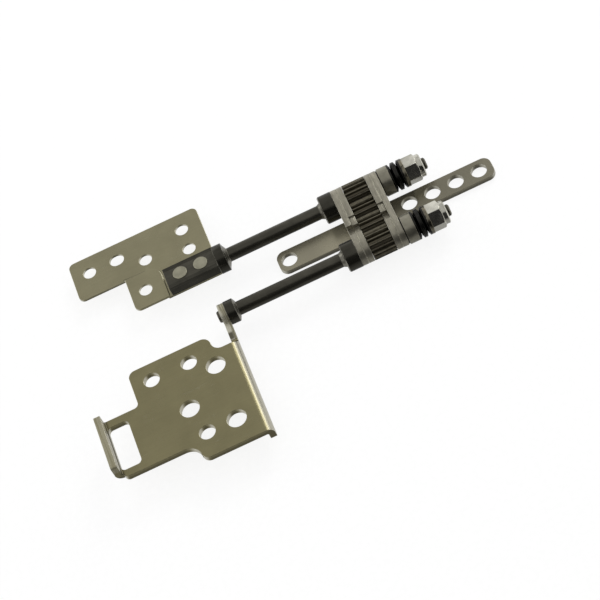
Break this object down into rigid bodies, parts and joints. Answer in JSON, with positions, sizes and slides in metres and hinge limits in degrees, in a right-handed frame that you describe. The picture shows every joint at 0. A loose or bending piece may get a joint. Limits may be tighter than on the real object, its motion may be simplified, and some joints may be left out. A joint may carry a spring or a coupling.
{
  "type": "twin-shaft laptop hinge",
  "caption": "Gear-synchronised twin-shaft friction hinge for a laptop that opens through a full turn, with a lid bracket, a base bracket and a mounting strip.",
  "frame": {"origin": "middle of the mounting strip's row of holes, on the strip's rear face", "axes": "+X along both shafts towards the lock nuts, +Y from the base shaft to the lid shaft, +Z out of the strip's front face"},
  "size_m": [0.095, 0.0638, 0.0092],
  "materials": {
    "sheet_steel": "nickel-plated stamped sheet, dull",
    "end_plate": "nickel-plated stamped plate, sheared edges",
    "gear_steel": "oiled sintered steel",
    "black_oxide": "turned steel, black oxide",
    "spring_steel": "black phosphated spring steel, oiled",
    "washer_steel": "zinc-plated",
    "nut_steel": "nickel-plated, satin"
  },
  "bodies": {
    "gear_block": {"mounting_strip": "sheet_steel", "left_outer_plate": "end_plate", "left_inner_plate": "end_plate", "right_inner_plate": "end_plate", "right_outer_plate": "end_plate"},
    "base_side": {"base_bracket": "sheet_steel", "base_shaft": "black_oxide", "base_gear": "gear_steel", "base_friction_washer": "spring_steel", "base_spacer": "washer_steel", "base_disc_1": "spring_steel", "base_disc_2": "spring_steel", "base_disc_3": "spring_steel", "base_disc_4": "spring_steel", "base_flat_washer": "washer_steel", "base_lock_nut": "nut_steel"},
    "lid_side": {"lid_bracket": "sheet_steel", "lid_shaft": "black_oxide", "lid_gear": "gear_steel", "lid_friction_washer": "spring_steel", "lid_spacer": "washer_steel", "lid_disc_1": "spring_steel", "lid_disc_2": "spring_steel", "lid_disc_3": "spring_steel", "lid_disc_4": "spring_steel", "lid_flat_washer": "washer_steel", "lid_lock_nut": "nut_steel", "inner_rivet": "nut_steel", "outer_rivet": "nut_steel"},
    "lower_idler": {"lower_idler": "gear_steel"},
    "upper_idler": {"upper_idler": "gear_steel"}
  },
  "joints": [
    {"name": "base_turn", "type": "hinge", "parent": "gear_block", "child": "base_side", "pos_m": [0, -0.0086, 0.00422], "axis": [1, 0, 0], "range_deg": [-90, 90]},
    {"name": "lid_turn", "type": "hinge", "parent": "gear_block", "child": "lid_side", "pos_m": [0, 0.0055, 0.00422], "axis": [1, 0, 0], "range_deg": [-90, 90]},
    {"name": "lower_idler_turn", "type": "hinge", "parent": "gear_block", "child": "lower_idler", "pos_m": [0, -0.00373, 0.00422], "axis": [1, 0, 0], "range_deg": [-111, 111]},
    {"name": "upper_idler_turn", "type": "hinge", "parent": "gear_block", "child": "upper_idler", "pos_m": [0, 0.00063, 0.00422], "axis": [1, 0, 0], "range_deg": [-111, 111]}
  ],
  "couplings": [
    {"joint": "lid_turn", "follows": "base_turn", "ratio": -1},
    {"joint": "lower_idler_turn", "follows": "base_turn", "ratio": -1.2308},
    {"joint": "upper_idler_turn", "follows": "base_turn", "ratio": 1.2308}
  ]
}
